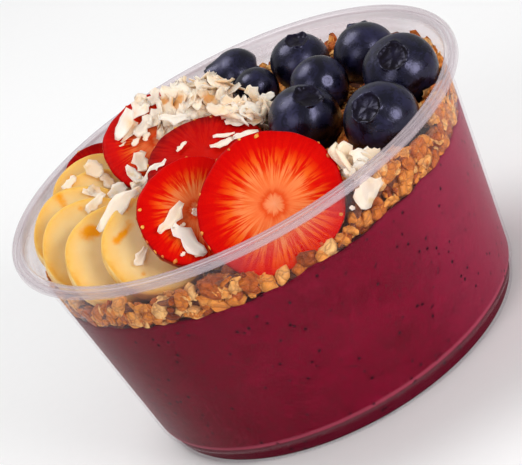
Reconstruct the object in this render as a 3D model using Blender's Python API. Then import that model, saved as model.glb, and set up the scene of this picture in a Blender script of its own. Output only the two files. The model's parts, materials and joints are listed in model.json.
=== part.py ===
"""Acai bowl: a clear round cup of thick acai under granola, topped with fruit slices, berries and coconut.

All sizes are in millimetres and go out in metres. Z is up, the cup stands on z = 0 at the origin,
and the bowl is meant to be looked at from -Y.
"""

import math

import bpy
from mathutils import Vector
from mathutils.bvhtree import BVHTree

MM = 0.001

# Cup: a thin clear tub with a flat rim, a stacking step under it and a narrower foot.
CUP_HEIGHT = 60.0
RIM_RADIUS = 58.5
RIM_INNER_RADIUS = 55.4
RIM_SKIRT = 2.5
WALL = 0.8
STEP_Z = 55.6
STEP_RADIUS = 55.35
WALL_FOOT_Z = 4.6
WALL_FOOT_RADIUS = 48.7
FOOT_RADIUS = 47.2
FOOT_RING_WIDTH = 1.8
BASE_RECESS = 1.0
CUP_SEGMENTS = 48

# Contents.
GAP = 0.3
ACAI_LEVEL = 45.9
ACAI_CENTRE_LEVEL = 42.2
GRANOLA_LEVEL = 50.6
BERRY_BED_RISE = 3.2
WALL_GRANOLA_LEVEL = 53.6
# Mounds of granola that carry the leaning slices: middle, height, spread.
GRANOLA_MOUNDS = (
    ((-8.0, 14.0), 15.0, 8.5),
    ((-5.0, -3.0), 10.0, 6.5),
    ((3.0, 17.0), 5.0, 6.0),
)
POCKET_REACH = 3.2

# Fruit sizes.
BANANA_THICKNESS = 5.0
SLICE_SEGMENTS = 20
BERRY_SEGMENTS = 15

# Blueberries: centre, half width, half height, where the crown points (turn from the front, lift),
# and how far the shoulder is drawn out to the crown.
BLUEBERRIES = (
    ((9.9, 42.2, 57.0), 7.3, 6.9, -100, 23, 0.30),
    ((12.1, 23.6, 58.6), 5.7, 5.6, 160, 30, 0.0),
    ((25.1, 28.8, 57.5), 7.5, 7.0, 45, 70, 0.0),
    ((39.2, 12.4, 57.5), 7.8, 7.5, 165, 45, 0.0),
    ((43.0, -8.6, 57.9), 9.0, 7.1, -8, 54, 0.02),
    ((25.4, 4.4, 59.2), 7.1, 6.7, -164, -21, 0.0),
    ((17.9, -9.5, 58.8), 8.6, 8.1, 43, 55, 0.0),
    ((32.4, -27.6, 57.3), 8.9, 8.1, -28, 53, 0.0),
)

# Strawberry slices: centre of the cut face, radius, turn, lift, thickness, press of the low edge.
STRAWBERRY_SLICES = (
    ((2.0, -43.7, 59.1), 16.2, 0, 33, 5.0, 1.6),
    ((-13.5, -31.0, 61.3), 13.6, 20, 45, 5.4, 0.0),
    ((-6.2, -8.6, 62.3), 14.4, 20, 67, 4.2, 0.0),
    ((-14.2, 12.7, 63.6), 14.4, 8, 58, 4.8, 0.0),
    ((-31.4, 30.2, 54.2), 11.2, 15, 47, 3.6, 0.0),
)

# Banana slices, from the front round to the back: centre of the face, radius, turn, lift.
BANANA_SLICES = (
    ((-25.4, -27.4, 57.7), 12.3, 20, 41),
    ((-34.3, -21.0, 57.0), 12.3, 20, 41),
    ((-38.8, -10.8, 57.6), 12.2, 20, 41),
    ((-39.9, 0.0, 57.2), 12.2, 19, 41),
    ((-34.6, 8.4, 55.6), 12.0, 15, 42),
    ((-34.0, 17.4, 55.8), 12.0, 12, 43),
)

# Shredded coconut heaps: middle, half size across X and Y, height of the crest.
COCONUT_HEAPS = (
    ((-5.0, 18.6), (13.2, 10.8), 72.0),
    ((7.4, 1.2), (7.4, 5.4), 66.5),
    ((23.2, -42.6), (5.2, 4.4), 58.8),
)


def clear_scene():
    """Empties the file before the bowl is built."""
    for ob in list(bpy.data.objects):
        bpy.data.objects.remove(ob, do_unlink=True)


def material(name, colour, roughness):
    """A plain material of one colour for a sub-part."""
    mat = bpy.data.materials.new(name)
    mat.use_nodes = True
    shader = mat.node_tree.nodes["Principled BSDF"]
    shader.inputs["Base Color"].default_value = (*colour, 1.0)
    shader.inputs["Roughness"].default_value = roughness
    shader.inputs["Metallic"].default_value = 0.0
    return mat


def add_object(name, verts, faces, mat):
    """Makes one named solid from points in millimetres."""
    mesh = bpy.data.meshes.new(name)
    mesh.from_pydata([Vector(v) * MM for v in verts], [], faces)
    mesh.update()
    mesh.materials.append(mat)
    ob = bpy.data.objects.new(name, mesh)
    bpy.context.scene.collection.objects.link(ob)
    return ob


def stack_rings(rings, low_pole, high_pole):
    """Joins rings of points, bottom to top and counter-clockwise from above, into a closed skin."""
    count = len(rings[0])
    verts = [low_pole] + [p for ring in rings for p in ring] + [high_pole]
    faces = []
    for k in range(count):
        faces.append((0, 1 + (k + 1) % count, 1 + k))
    for r in range(len(rings) - 1):
        low = 1 + r * count
        high = low + count
        for k in range(count):
            n = (k + 1) % count
            faces.append((low + k, low + n, high + n, high + k))
    top = 1 + (len(rings) - 1) * count
    last = len(verts) - 1
    for k in range(count):
        faces.append((top + k, top + (k + 1) % count, last))
    return verts, faces


def angles(count):
    """Even angles round a full turn."""
    return [2 * math.pi * k / count for k in range(count)]


def wall_radius(z):
    """Outer radius of the cup's wall at a height."""
    share = (z - WALL_FOOT_Z) / (STEP_Z - WALL_FOOT_Z)
    return WALL_FOOT_RADIUS + (STEP_RADIUS - 0.5 - WALL_FOOT_RADIUS) * share


def inner_radius(z):
    """Inner radius of the cup at a height, above its foot."""
    return wall_radius(z) - WALL


def cup_profile():
    """The cup's closed outline as (radius, z), down the outside and back up the inside."""
    top = CUP_HEIGHT
    outside = [
        (RIM_INNER_RADIUS, top - 0.45),
        (RIM_INNER_RADIUS + 0.5, top),
        (RIM_RADIUS - 0.6, top),
        (RIM_RADIUS, top - 0.6),
        (RIM_RADIUS, top - RIM_SKIRT),
        (RIM_RADIUS - WALL, top - RIM_SKIRT),
        (RIM_RADIUS - WALL, top - 1.1),
        (STEP_RADIUS + 0.75, top - 1.3),
        (STEP_RADIUS, STEP_Z + 0.6),
        (STEP_RADIUS - 0.5, STEP_Z),
        (WALL_FOOT_RADIUS + 0.05, WALL_FOOT_Z + 0.4),
        (WALL_FOOT_RADIUS - 0.35, WALL_FOOT_Z - 0.3),
        (FOOT_RADIUS, WALL_FOOT_Z - 1.2),
        (FOOT_RADIUS - 0.2, 0.5),
        (FOOT_RADIUS - 0.6, 0.0),
        (FOOT_RADIUS - 0.6 - FOOT_RING_WIDTH, 0.0),
        (FOOT_RADIUS - 1.6 - FOOT_RING_WIDTH, BASE_RECESS),
    ]
    floor = BASE_RECESS + WALL
    inside = [
        (FOOT_RADIUS - 1.9, floor),
        (FOOT_RADIUS - WALL, floor + 0.9),
        (FOOT_RADIUS - WALL + 0.1, WALL_FOOT_Z - 0.9),
        (inner_radius(WALL_FOOT_Z + 0.6), WALL_FOOT_Z + 0.6),
        (inner_radius(STEP_Z), STEP_Z + 0.1),
        (STEP_RADIUS - WALL, STEP_Z + 0.8),
    ]
    return outside, inside


def build_cup(mat):
    """Turns the cup's outline round the Z axis."""
    outside, inside = cup_profile()
    loop = outside + inside
    under = len(outside) - 1
    floor = len(outside)
    turns = angles(CUP_SEGMENTS)
    verts = [(r * math.cos(a), r * math.sin(a), z) for r, z in loop for a in turns]
    count = CUP_SEGMENTS
    faces = []
    for i in range(len(loop)):
        j = (i + 1) % len(loop)
        if i == under:
            continue
        for k in range(count):
            n = (k + 1) % count
            faces.append((i * count + k, j * count + k, j * count + n, i * count + n))
    bottom = len(verts)
    verts.append((0.0, 0.0, BASE_RECESS))
    verts.append((0.0, 0.0, BASE_RECESS + WALL))
    for k in range(count):
        n = (k + 1) % count
        faces.append((under * count + k, bottom, under * count + n))
        faces.append((floor * count + n, bottom + 1, floor * count + k))
    return add_object("cup", verts, faces, mat)


def acai_edge_level(a):
    """Height of the acai where it meets the wall, at an angle counted from +X."""
    wave = 0.45 * math.sin(2 * a + 0.6) + 0.3 * math.sin(5 * a + 1.1) + 0.22 * math.sin(11 * a)
    left = max(0.0, math.cos(a - math.radians(215)))
    return ACAI_LEVEL + wave - 1.3 * left**3


def acai_level(x, y):
    """Height of the acai's top at a point, dished under the granola."""
    a = math.atan2(y, x)
    r = math.hypot(x, y) / inner_radius(ACAI_LEVEL)
    share = max(0.0, (r - 0.55) / 0.45) ** 2
    return ACAI_CENTRE_LEVEL + (acai_edge_level(a) - ACAI_CENTRE_LEVEL) * share


def build_acai(mat):
    """Thick acai filling the cup up to just under the granola."""
    turns = angles(CUP_SEGMENTS)
    floor = BASE_RECESS + WALL + GAP
    foot = [
        (FOOT_RADIUS - 2.2 - GAP, floor),
        (FOOT_RADIUS - WALL - GAP, floor + 0.9),
        (FOOT_RADIUS - WALL - GAP, WALL_FOOT_Z - 0.8),
        (inner_radius(WALL_FOOT_Z + 0.7) - GAP, WALL_FOOT_Z + 0.8),
    ]
    rings = [[(r * math.cos(a), r * math.sin(a), z) for a in turns] for r, z in foot]
    edge = []
    for a in turns:
        z = acai_edge_level(a)
        r = inner_radius(z) - GAP
        edge.append((r * math.cos(a), r * math.sin(a), z))
    rings.append(edge)
    for share in (0.9, 0.77, 0.55):
        r = share * inner_radius(ACAI_LEVEL)
        ring = [(r * math.cos(a), r * math.sin(a)) for a in turns]
        rings.append([(x, y, acai_level(x, y)) for x, y in ring])
    verts, faces = stack_rings(rings, (0, 0, floor), (0, 0, ACAI_CENTRE_LEVEL))
    return add_object("acai", verts, faces, mat)


def direction(turn, lift):
    """A unit vector turned from the front (-Y) towards +X and lifted from level, in degrees."""
    t = math.radians(turn)
    e = math.radians(lift)
    return Vector((math.cos(e) * math.sin(t), -math.cos(e) * math.cos(t), math.sin(e)))


def placed(points, centre, across, upward, outward):
    """Moves points given as (across, upward, outward) to the bowl's frame."""
    c = Vector(centre)
    return [tuple(c + across * u + upward * v + outward * w) for u, v, w in points]


def slice_axes(turn, lift):
    """Across, upward and outward directions of a leaning slice."""
    outward = direction(turn, lift)
    across = Vector((math.cos(math.radians(turn)), math.sin(math.radians(turn)), 0.0))
    return across, outward.cross(across), outward


def slice_solid(name, centre, turn, lift, profile, outline, mat):
    """A leaning slice: rings of (share of the outline, depth) between the middles of its two faces."""
    axes = slice_axes(turn, lift)
    rings = []
    for share, depth in profile:
        ring = []
        for a in angles(SLICE_SEGMENTS):
            r = outline(a) * share
            ring.append((r * math.cos(a), r * math.sin(a), depth))
        rings.append(placed(ring, centre, *axes))
    low = placed([(0, 0, profile[0][1])], centre, *axes)[0]
    high = placed([(0, 0, profile[-1][1])], centre, *axes)[0]
    verts, faces = stack_rings(rings, low, high)
    return add_object(name, verts, faces, mat)


def strawberry_outline(radius, seed, pressed):
    """Rounded, slightly lobed outline of a strawberry cut across, with its low edge pressed in."""

    def outline(a):
        lobes = 0.018 * math.sin(2 * a + seed) + 0.014 * math.sin(5 * a + 2.1 * seed)
        return radius * (1 + lobes) - pressed * max(0.0, -math.sin(a)) ** 4

    return outline


def banana_outline(radius, seed):
    """Almost round outline of a peeled banana, with its five soft corners."""

    def outline(a):
        return radius * (1 + 0.012 * math.sin(2 * a + seed) + 0.013 * math.cos(5 * a + 1.7 * seed))

    return outline


def build_strawberries(mat):
    """The strawberry slices, each with its skin tapering away behind the cut face."""
    made = []
    for i, (centre, radius, turn, lift, thick, pressed) in enumerate(STRAWBERRY_SLICES):
        profile = (
            (0.80, -thick),
            (0.90, -thick + 0.35),
            (0.975, -0.45 * thick),
            (1.0, -0.9),
            (0.985, -0.25),
            (0.95, 0.0),
        )
        outline = strawberry_outline(radius, 1.3 * i, pressed)
        made.append(slice_solid(f"strawberry_slice_{i + 1}", centre, turn, lift, profile, outline, mat))
    return made


def build_bananas(mat):
    """The fan of banana slices along the left wall."""
    made = []
    thick = BANANA_THICKNESS
    for i, (centre, radius, turn, lift) in enumerate(BANANA_SLICES):
        profile = ((0.95, -thick), (0.99, -thick + 0.5), (1.0, -0.7), (0.99, -0.2), (0.96, 0.0))
        outline = banana_outline(radius, 0.9 * i)
        made.append(slice_solid(f"banana_slice_{i + 1}", centre, turn, lift, profile, outline, mat))
    return made


def drawn_out(reach, peak):
    """How far a berry's shoulder rises towards a drawn-out crown, as a share of its half height."""
    t = min(1.0, max(0.0, (0.75 - reach) / 0.45))
    return peak * t * t * (3 - 2 * t)


def build_blueberries(mat):
    """Plump berries, each with a five-pointed crown round a small hollow."""
    made = []
    for i, (centre, wide, high, turn, lift, peak) in enumerate(BLUEBERRIES):
        outward = direction(turn, lift)
        across = Vector((0, 0, 1)).cross(outward).normalized()
        upward = outward.cross(across)
        rings = []
        for polar in (160, 134, 107, 80, 54, 33):
            p = math.radians(polar)
            r = wide * math.sin(p)
            z = high * (math.cos(p) + drawn_out(math.sin(p), peak if polar < 90 else 0.0))
            rings.append([(r * math.cos(a), r * math.sin(a), z) for a in angles(BERRY_SEGMENTS)])
        crown = []
        hollow = []
        for k, a in enumerate(angles(BERRY_SEGMENTS)):
            tip = 1.0 if k % 3 == 0 else 0.0
            r = wide * (0.4 + 0.03 * tip) * (1 - 0.5 * peak)
            lift_up = drawn_out(0.4, peak)
            crown.append((r * math.cos(a), r * math.sin(a), high * (0.965 + 0.045 * tip + lift_up)))
            hollow.append((0.6 * r * math.cos(a), 0.6 * r * math.sin(a), high * (0.86 + lift_up)))
        rings += [crown, hollow]
        rings = [placed(ring, centre, across, upward, outward) for ring in rings]
        top = high * (0.85 + drawn_out(0.0, peak))
        ends = placed([(0, 0, -0.97 * high), (0, 0, top)], centre, across, upward, outward)
        verts, faces = stack_rings(rings, ends[0], ends[1])
        made.append(add_object(f"blueberry_{i + 1}", verts, faces, mat))
    return made


def search_tree(ob):
    """A tree for finding an object's surface along a straight line."""
    verts = [v.co / MM for v in ob.data.vertices]
    faces = [tuple(p.vertices) for p in ob.data.polygons]
    return BVHTree.FromPolygons(verts, faces)


def lowest_above(trees, x, y, start):
    """Height of the first surface over a point, or None."""
    found = None
    for tree in trees:
        hit = tree.ray_cast(Vector((x, y, start)), Vector((0, 0, 1)))[0]
        if hit is not None and (found is None or hit.z < found):
            found = hit.z
    return found


def highest_below(trees, x, y, start):
    """Height of the first surface under a point, or None."""
    found = None
    for tree in trees:
        hit = tree.ray_cast(Vector((x, y, start)), Vector((0, 0, -1)))[0]
        if hit is not None and (found is None or hit.z > found):
            found = hit.z
    return found


def around(x, y, reach):
    """A point and a double ring of points round it."""
    spots = [(x, y)]
    for share in (0.5, 1.0):
        for a in angles(12):
            spots.append((x + share * reach * math.cos(a), y + share * reach * math.sin(a)))
    return spots


def granola_level(x, y):
    """Uneven height of the granola where nothing lies on it, higher at the wall and under the berries."""
    a = math.atan2(y, x)
    r = math.hypot(x, y) / inner_radius(GRANOLA_LEVEL)
    lumps = 0.4 * math.sin(0.55 * x + 1.0) * math.cos(0.6 * y) + 0.3 * math.sin(0.9 * x - 0.8 * y)
    berries = BERRY_BED_RISE / (1 + math.exp(-0.25 * x))
    at_wall = WALL_GRANOLA_LEVEL + 1.6 * math.cos(a + math.radians(15)) + 0.5 * math.sin(4 * a)
    edge = min(1.0, max(0.0, (r - 0.78) / 0.2))
    inside = GRANOLA_LEVEL + berries + lumps
    for (mx, my), height, spread in GRANOLA_MOUNDS:
        inside += height * math.exp(-((x - mx) ** 2 + (y - my) ** 2) / (2 * spread**2))
    return inside + (at_wall + 0.5 * lumps - inside) * edge


def build_granola(mat, fruit):
    """The granola layer, from the acai up to its uneven top, hollowed under everything lying in it."""
    trees = [search_tree(ob) for ob in fruit]
    turns = angles(CUP_SEGMENTS)
    edge = inner_radius(ACAI_LEVEL) - GAP
    rings = []
    for share in (0.55, 0.77, 0.9):
        r = share * inner_radius(ACAI_LEVEL)
        ring = []
        for a in turns:
            x = r * math.cos(a)
            y = r * math.sin(a)
            ring.append((x, y, acai_level(x, y) + GAP))
        rings.append(ring)
    low = []
    for a in turns:
        z = acai_edge_level(a) + GAP
        r = inner_radius(z) - GAP
        low.append((r * math.cos(a), r * math.sin(a), z))
    rings.append(low)
    for share in (1.0, 0.955, 0.9, 0.84, 0.78, 0.72, 0.66, 0.6, 0.54, 0.47, 0.4, 0.33, 0.26, 0.18, 0.1):
        ring = []
        for a in turns:
            r = share * edge
            x = r * math.cos(a)
            y = r * math.sin(a)
            floor = acai_level(x, y) + GAP + 0.5
            top = granola_level(x, y)
            for px, py in around(x, y, POCKET_REACH):
                ceiling = lowest_above(trees, px, py, 30.0)
                if ceiling is not None:
                    top = min(top, ceiling - 0.4)
            z = max(top, floor)
            if share == 1.0:
                r = inner_radius(z) - GAP
                x = r * math.cos(a)
                y = r * math.sin(a)
            ring.append((x, y, z))
        rings.append(ring)
    middle = sum(p[2] for p in rings[-1]) / len(turns)
    verts, faces = stack_rings(rings, (0, 0, ACAI_CENTRE_LEVEL + GAP), (0, 0, middle))
    return add_object("granola", verts, faces, mat)


def build_coconut(mat, below, granola):
    """Heaps of shredded coconut draped over what lies under them."""
    trees = [search_tree(ob) for ob in below + [granola]]
    made = []
    for i, ((cx, cy), (half_x, half_y), crest) in enumerate(COCONUT_HEAPS):
        turns = angles(16)
        shares = (0.3, 0.6, 0.82, 0.97)
        reach = 0.3 * half_x
        under = []
        over = []
        for share in shares:
            low_ring = []
            high_ring = []
            for a in turns:
                wobble = 1 + 0.10 * math.sin(3 * a + i) + 0.06 * math.sin(7 * a + 2 * i)
                x = cx + half_x * share * wobble * math.cos(a)
                y = cy + half_y * share * wobble * math.sin(a)
                spots = around(x, y, reach)
                rest = max(highest_below(trees, px, py, 90.0) or 0.0 for px, py in spots) + 0.5
                dome = rest + (crest - rest) * math.sqrt(1 - share**2)
                lump = 0.5 * math.sin(1.1 * x + i) * math.cos(1.3 * y)
                low_ring.append((x, y, rest))
                high_ring.append((x, y, max(dome + lump, rest + 0.8)))
            under.append(low_ring)
            over.append(high_ring)
        rings = under + over[::-1]
        rest = sum(p[2] for p in under[0]) / len(turns)
        high = sum(p[2] for p in over[0]) / len(turns)
        verts, faces = stack_rings(rings, (cx, cy, rest), (cx, cy, high))
        made.append(add_object(f"coconut_heap_{i + 1}", verts, faces, mat))
    return made


def build():
    """Builds the whole bowl."""
    clear_scene()
    build_cup(material("clear_plastic", (0.86, 0.87, 0.90), 0.12))
    build_acai(material("acai_pulp", (0.21, 0.012, 0.045), 0.45))
    bananas = build_bananas(material("banana_flesh", (0.93, 0.76, 0.42), 0.5))
    strawberries = build_strawberries(material("strawberry_flesh", (0.80, 0.06, 0.03), 0.35))
    blueberries = build_blueberries(material("blueberry_skin", (0.03, 0.035, 0.08), 0.5))
    fruit = bananas + strawberries + blueberries
    granola = build_granola(material("granola_toasted", (0.55, 0.29, 0.10), 0.7), fruit)
    build_coconut(material("coconut_flesh", (0.93, 0.89, 0.78), 0.7), fruit, granola)


build()
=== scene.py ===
"""Looks of the acai bowl: clear tub, acai, granola, banana, strawberry, blueberries and coconut.

Sizes are in millimetres unless a name says otherwise, and meshes go out in metres.
"""

import json
import random
from math import atan2, cos, degrees, exp, hypot, pi, radians, sin, sqrt, tau

import bmesh
import bpy
import numpy as np
from mathutils import Matrix, Vector
from mathutils.bvhtree import BVHTree
from mathutils.noise import noise

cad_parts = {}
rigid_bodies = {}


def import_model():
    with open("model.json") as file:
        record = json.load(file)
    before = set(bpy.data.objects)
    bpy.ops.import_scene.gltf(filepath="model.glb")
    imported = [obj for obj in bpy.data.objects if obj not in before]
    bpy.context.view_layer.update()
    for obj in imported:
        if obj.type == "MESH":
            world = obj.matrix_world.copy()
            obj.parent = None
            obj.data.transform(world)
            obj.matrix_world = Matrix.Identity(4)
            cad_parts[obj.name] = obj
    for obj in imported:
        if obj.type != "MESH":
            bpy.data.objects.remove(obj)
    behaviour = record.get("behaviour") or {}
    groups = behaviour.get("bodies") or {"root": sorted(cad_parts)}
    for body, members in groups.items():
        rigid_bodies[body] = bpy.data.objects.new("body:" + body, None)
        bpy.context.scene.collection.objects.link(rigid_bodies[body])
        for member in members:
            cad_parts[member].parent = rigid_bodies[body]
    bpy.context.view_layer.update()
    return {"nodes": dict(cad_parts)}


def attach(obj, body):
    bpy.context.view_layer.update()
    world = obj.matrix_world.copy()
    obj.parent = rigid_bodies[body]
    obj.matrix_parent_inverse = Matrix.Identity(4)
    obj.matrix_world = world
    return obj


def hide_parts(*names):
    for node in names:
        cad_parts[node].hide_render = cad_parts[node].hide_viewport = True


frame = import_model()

MM = 0.001
UP = Vector((0, 0, 1))

# Tub.
CUP_HEIGHT = 60.0
RIM_RADIUS = 58.5
RIM_INNER_RADIUS = 55.4
RIM_SKIRT = 2.1
RIM_LINE_SPACING = 1.15
WALL = 0.8
STEP_Z = 55.6
STEP_RADIUS = 55.35
WALL_FOOT_Z = 4.6
WALL_FOOT_RADIUS = 48.7
FOOT_RADIUS = 47.2
FOOT_RING_WIDTH = 1.8
BASE_RECESS = 1.0
CUP_SEGMENTS = 192

# Contents.
INTO_WALL = 0.15
ACAI_LEVEL = 45.9
ACAI_CENTRE_LEVEL = 42.2

# Blueberries: centre, half width, half height, where the crown points (turn from the front, lift),
# and how far the crown is drawn out.
BLUEBERRIES = (
    ((9.9, 42.2, 57.0), 7.3, 6.9, -100, 23, 0.30),
    ((12.1, 23.6, 58.6), 5.7, 5.6, 160, 30, 0.0),
    ((25.1, 28.8, 57.5), 7.5, 7.0, 45, 70, 0.0),
    ((39.2, 12.4, 57.5), 7.8, 7.5, 165, 45, 0.0),
    ((43.0, -8.6, 57.9), 9.0, 7.1, -8, 54, 0.02),
    ((25.4, 4.4, 59.2), 7.1, 6.7, -164, -21, 0.0),
    ((17.9, -9.5, 58.8), 8.6, 8.1, 43, 55, 0.0),
    ((32.4, -27.6, 57.3), 8.9, 8.1, -28, 53, 0.0),
)

# Rows of a berry's crown, inwards: distance from its middle and height, as shares of the berry's half
# width and half height, how far the lobes stand out and up, and how dark it is.
CROWN_ROWS = (
    (0.455, 0.892, 0, 0, 0), (0.43, 0.906, 0.015, 0.01, 0), (0.41, 0.917, 0.03, 0.03, 0.1),
    (0.395, 0.924, 0.05, 0.055, 0.3), (0.37, 0.916, 0.03, 0.045, 0.8), (0.35, 0.902, 0.01, 0.015, 1),
    (0.325, 0.88, 0, 0, 1), (0.28, 0.862, 0, 0, 0.75), (0.18, 0.856, 0, 0, 0.7), (0.06, 0.86, 0, 0, 0.8),
)

# Strawberry slices: centre of the cut face, turn, lift, radius, thickness, press of the low edge, how far
# the left edge is widened, then how much pale core shows and how streaky the flesh is.
STRAWBERRY_SLICES = (
    ((2, -43.7, 59.1), 0, 33, 16.2, 5, 1.6, 1, 1, 1),
    ((-13.5, -31, 61.3), 20, 45, 13.6, 5.4, 0, 0, 1, 1.1),
    ((-6.2, -8.6, 62.3), 20, 67, 14.4, 4.2, 0, 0, 0, 0.5),
    ((-14.2, 12.7, 63.6), 8, 58, 14.4, 4.8, 0, 0, 0.8, 0.7),
    ((-31.4, 30.2, 54.2), 15, 47, 11.2, 3.6, 0, 0, 0.2, 0.5),
)

# Banana slices, from the front round to the back: centre of the face, turn, lift, radius.
BANANA_SLICES = (
    ((-25.4, -27.4, 57.7), 20, 41, 12.3),
    ((-34.3, -21, 57), 20, 41, 12.3),
    ((-38.8, -10.8, 57.6), 20, 41, 12.2),
    ((-39.9, 0, 57.2), 19, 41, 12.2),
    ((-34.6, 8.4, 55.6), 15, 42, 12),
    ((-34, 17.4, 55.8), 12, 43, 12),
)
BANANA_THICKNESS = 5.0

# Amber stains on the banana faces: slice, across and up from its middle, size.
BANANA_STAINS = (
    (4, 0.6, 11.1, 1.5), (4, 0, 8.6, 1.3), (4, 7.1, 6.5, 1.1), (3, 3, 9.2, 1), (2, -2.9, 8.2, 2.2),
    (2, -1.1, 8.5, 1.4), (2, -0.4, 7, 1.2), (1, -6.7, 5.8, 1.4), (1, -5.1, 6.1, 1), (1, -3.8, 6.2, 0.9),
    (1, -1.9, 7.1, 1.5), (1, -7.3, -4.3, 0.9), (6, -3, 8.5, 1.6),
)

# Height of the granola against the wall in front of the banana slices, by the turn from the front.
WALL_GRANOLA_TOP = (
    (-52, 60), (-49, 52.6), (-38, 53.4), (-31, 52.8), (-22, 53.6),
    (-18, 56.5), (-15, 55.5), (-12, 52), (-9, 50), (14, 50),
)

# Strewn things: random seed, most in a square metre, tilt in radians, then their least spacing, the
# smallest, the largest and how far they are lifted.
STREW_PLANS = {
    "granola_lumps": (5, 200000.0, 1.2, 2.4, 3.2, 5.6, -0.2),
    "granola_oats": (3, 180000.0, 0.8, 2.3, 3.6, 6.0, 0.5),
    "granola_crumbs": (7, 190000.0, 3.0, 1.9, 0.8, 2.4, 0.9),
    "strawberry_seeds": (12, 200000.0, 0.2, 1.9, 0.75, 1.2, -0.02),
    "coconut_shreds_1": (21, 400000.0, 0.42, 1.6, 4.5, 9.5, 0.2),
    "coconut_shreds_2": (22, 400000.0, 0.5, 1.45, 4.0, 7.0, 0.2),
    "coconut_shreds_3": (23, 400000.0, 0.5, 1.45, 4.0, 7.0, 0.2),
}

# Coconut flakes lying loose on the fruit: one end, the other end, how wide, and where the face points
# (turn, lift). Granola keeps clear of those that lie against the wall.
CHIP_CLEARANCE = 4.2
LOOSE_COCONUT = (
    (-23, -34.3, 61.9, -16.3, -30.5, 63.4, 2.7, 14, 49), (-20.1, -34.4, 61, -16.9, -39.6, 54.8, 3.1, 14, 48),
    (-18.7, -34.1, 60.7, -17.5, -33.7, 60.7, 1.2, 19, 43),
    (-14.9, -32.7, 60.7, -14.3, -31.2, 61.5, 1.3, 53, 41),
    (-18.8, -39.9, 55.1, -16.9, -38.9, 55.4, 1, 21, 45), (-21.5, -39.1, 56.7, -20.4, -38.8, 56.8, 1, 13, 44),
    (-24.3, 8.8, 62.5, -22.8, 4.3, 59.4, 1.8, 5, 39), (-20.4, 10.5, 63.3, -20.7, 6.1, 60.5, 3.1, 4, 41),
    (-25.3, 4.1, 57.9, -21.7, 4.5, 59.5, 2.2, 3, 42), (-36.8, -5.1, 63.4, -31.9, -3.4, 64.2, 2, 24, 43),
    (-35, -21.1, 64.8, -24.4, -19.5, 67.1, 3.5, 20, 41), (-31, 14.6, 61.7, -29.6, 12.3, 58.9, 2, 8, 33),
    (-34.6, 7.1, 63.3, -32.2, 5.3, 60.6, 2, 10, 33), (-31.3, 5, 59.8, -27.2, 6.3, 59.8, 2.9, 8, 32),
    (-30.2, 12.4, 59.1, -27.2, 10.8, 56.5, 1.7, 8, 32), (-31.4, -31.3, 56.4, -28.2, -28.9, 57.9, 2, 16, 42),
    (-33.1, 17, 65.1, -30.9, 14.9, 61.9, 3.1, 20, 41), (-36.1, 6.8, 63.5, -33.4, 5.5, 61.2, 1.7, 20, 41),
    (-40.5, 14.6, 63.8, -36.9, 15.7, 64.3, 1.7, 20, 41), (-22, -6.7, 63.8, -15.3, -5.7, 65.2, 1.5, 7, 44),
    (-25.3, 4.8, 58.8, -22, 5, 59.8, 2.3, 3, 40), (-25.2, -19.6, 66.4, -22.9, -18.1, 67.1, 2, 10, 30),
    (-11.7, -4.5, 65.1, -9, -3.1, 65.4, 1.1, 16, 68), (-23, 16.6, 67.2, -17.2, 19.1, 70.6, 2.8, -2, 56),
    (-22.4, 15.3, 66.3, -17.7, 18.1, 67.7, 2.1, 5, 60), (-23.6, 14.5, 66, -22, 15.1, 66.1, 0.8, 14, 61),
    (-20.7, 13.3, 65, -18.4, 14.6, 65.6, 1.1, 13, 59), (-18.8, 15.2, 66.1, -14, 17.9, 67.3, 2.8, 8, 55),
    (-17.6, 13.1, 64.7, -16.1, 14.5, 65.5, 1.3, 5, 55), (-17.6, 19.3, 68.4, -13.3, 23, 70.1, 3.3, 5, 59),
    (-15.1, 24, 70.9, -12.6, 23.3, 70.3, 2.3, 15, 57), (-14.2, 15.6, 65.9, -11.8, 18.9, 67.7, 3.1, 9, 63),
    (-11.7, 10.9, 68.5, -5.9, 9, 65.8, 2.3, -37, 58), (-12.3, 21.5, 69.2, -9.1, 23.2, 70.9, 2.3, 19, 58),
    (-0.5, 0.2, 69.2, 3.1, -1.9, 66.7, 1.9, 9, 43), (3.3, 3.7, 67.9, 7.1, 2.5, 65, 2.8, -4, 16),
    (-3, 13.8, 68.6, 0.2, 11, 65.6, 2.3, 11, 43), (-8.1, 18.4, 72.3, -5.6, 16.4, 69.6, 2.4, 3, 41),
    (-5.5, 15.2, 68.9, -2.5, 11.2, 67.2, 2.2, 6, 44), (2.2, -1, 64.4, 4.6, -4.1, 62.8, 2.1, 4, 46),
    (-4.2, -7.6, 63, 0.9, -7.7, 62, 1.6, 14, 68), (-2.5, -4.7, 63.8, 1.7, -5.9, 62.6, 1.1, 22, 68),
    (5, -3.5, 65.6, 9, -0.9, 63.6, 3.1, 7, 41), (5.7, -2.9, 63, 8.9, -3.6, 61.2, 2.4, 43, 35),
    (17.5, -50.1, 53.7, 23.9, -47.5, 54, 4.8, 23, -6), (15.7, -50.6, 52.9, 16.6, -50.2, 52, 1.1, 18, -6),
    (20.5, -42, 63.1, 21.8, -42, 56.3, 2.9, 10, 25), (21.6, -44, 61, 24.2, -44, 57.5, 2.3, 25, 20),
    (24.7, -43, 58.4, 27.6, -43, 57.4, 1.7, 0, 40), (18.6, -45, 57.9, 20.8, -45, 57.1, 1.8, 10, 40),
    (10.3, 6, 67.3, 10.7, 6, 62.8, 2.2, -5, 25), (11, 4, 63.6, 14.4, 4, 62.5, 1.6, 10, 35),
    (1.5, -8, 62.4, 6.6, -8, 61, 1.6, 10, 50),
)

# Drops of syrup on the large coconut heap: middle and reach.
SYRUP_DROPS = (
    (-6.2, 14, 69.3, 2.6),
    (0.8, 11.5, 67.1, 2.6),
    (-8.7, 16.8, 70.3, 1.6),
)

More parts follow.
